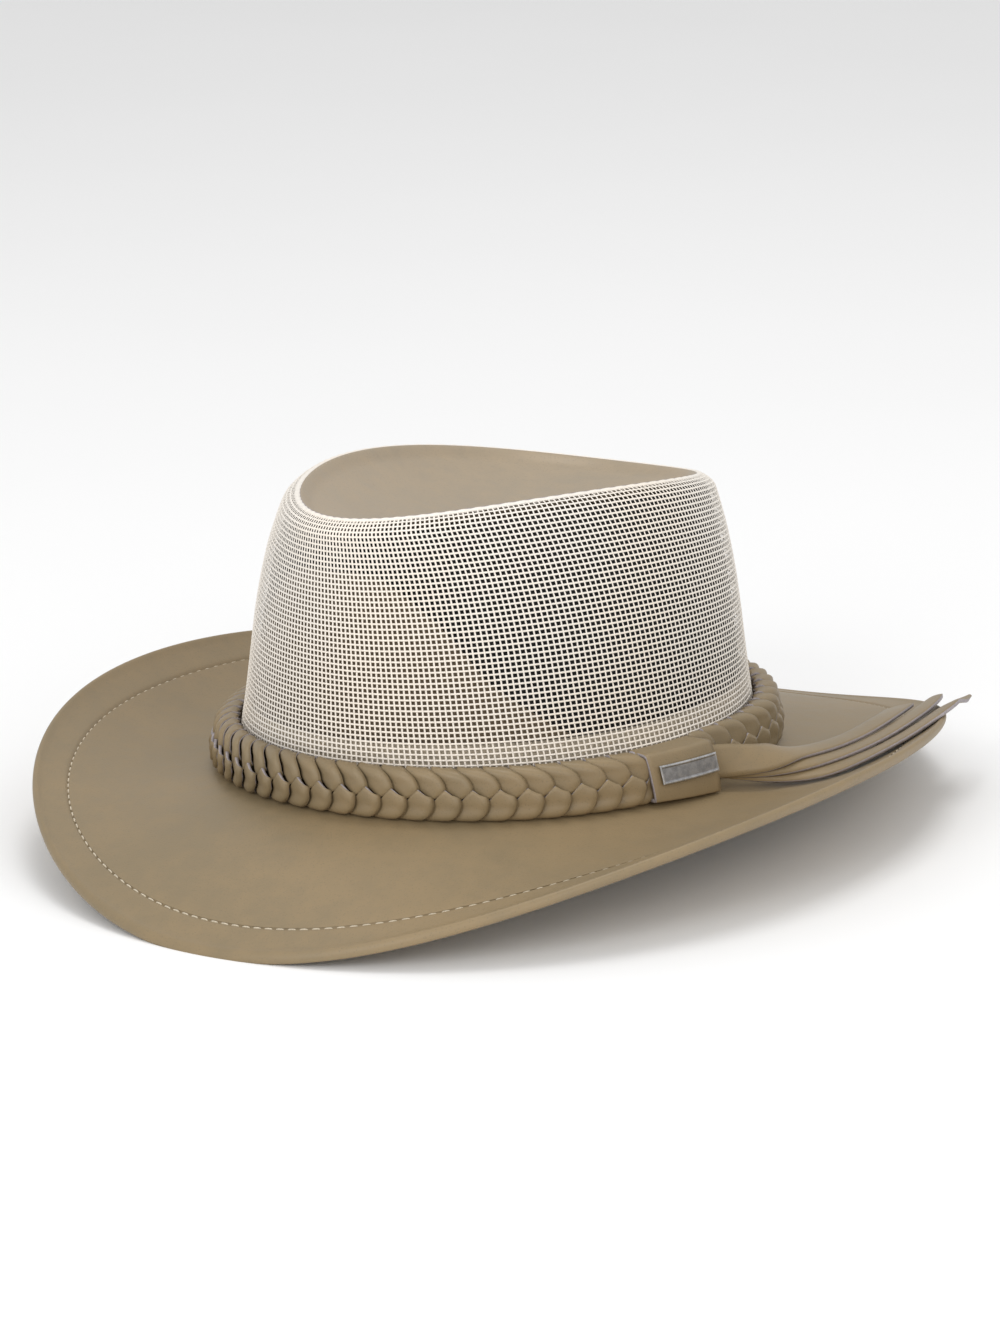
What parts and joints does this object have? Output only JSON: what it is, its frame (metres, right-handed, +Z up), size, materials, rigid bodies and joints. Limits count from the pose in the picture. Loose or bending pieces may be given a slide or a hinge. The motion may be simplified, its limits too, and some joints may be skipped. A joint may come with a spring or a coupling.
{
  "type": "mesh crown sun hat with braided band",
  "caption": "Wide-brimmed cooling sun hat with an open mesh crown, dished leather tip, curled leather brim and a braided leather band closed by a keeper with a plain metal plate.",
  "frame": {"origin": "on the surface that the hat rests on, under the middle of the brim", "axes": "+Z up; -Y to the front of the hat, where the wearer looks; +X to the wearer's left, where the keeper and the loose strips are"},
  "size_m": [0.3036, 0.368, 0.1289],
  "materials": {
    "tan_leather": "smooth satin, fine grain",
    "tan_leather_strip": "smooth satin with darker cut edges",
    "coated_mesh": "coated open weave, satin",
    "tan_panel": "matt",
    "dark_lining": "matt black",
    "sweatband_cloth": "matt towelling",
    "antique_silver": "antique, worn satin"
  },
  "bodies": {
    "root": {"brim": "tan_leather", "crown_mesh": "coated_mesh", "crown_tip": "tan_leather", "sweatband": "sweatband_cloth", "front_panel": "tan_panel", "crown_lining": "dark_lining", "braided_band": "tan_leather", "keeper": "tan_leather", "keeper_plate": "antique_silver", "tail_inner": "tan_leather_strip", "tail_middle": "tan_leather_strip", "tail_outer": "tan_leather_strip"}
  },
  "joints": []
}
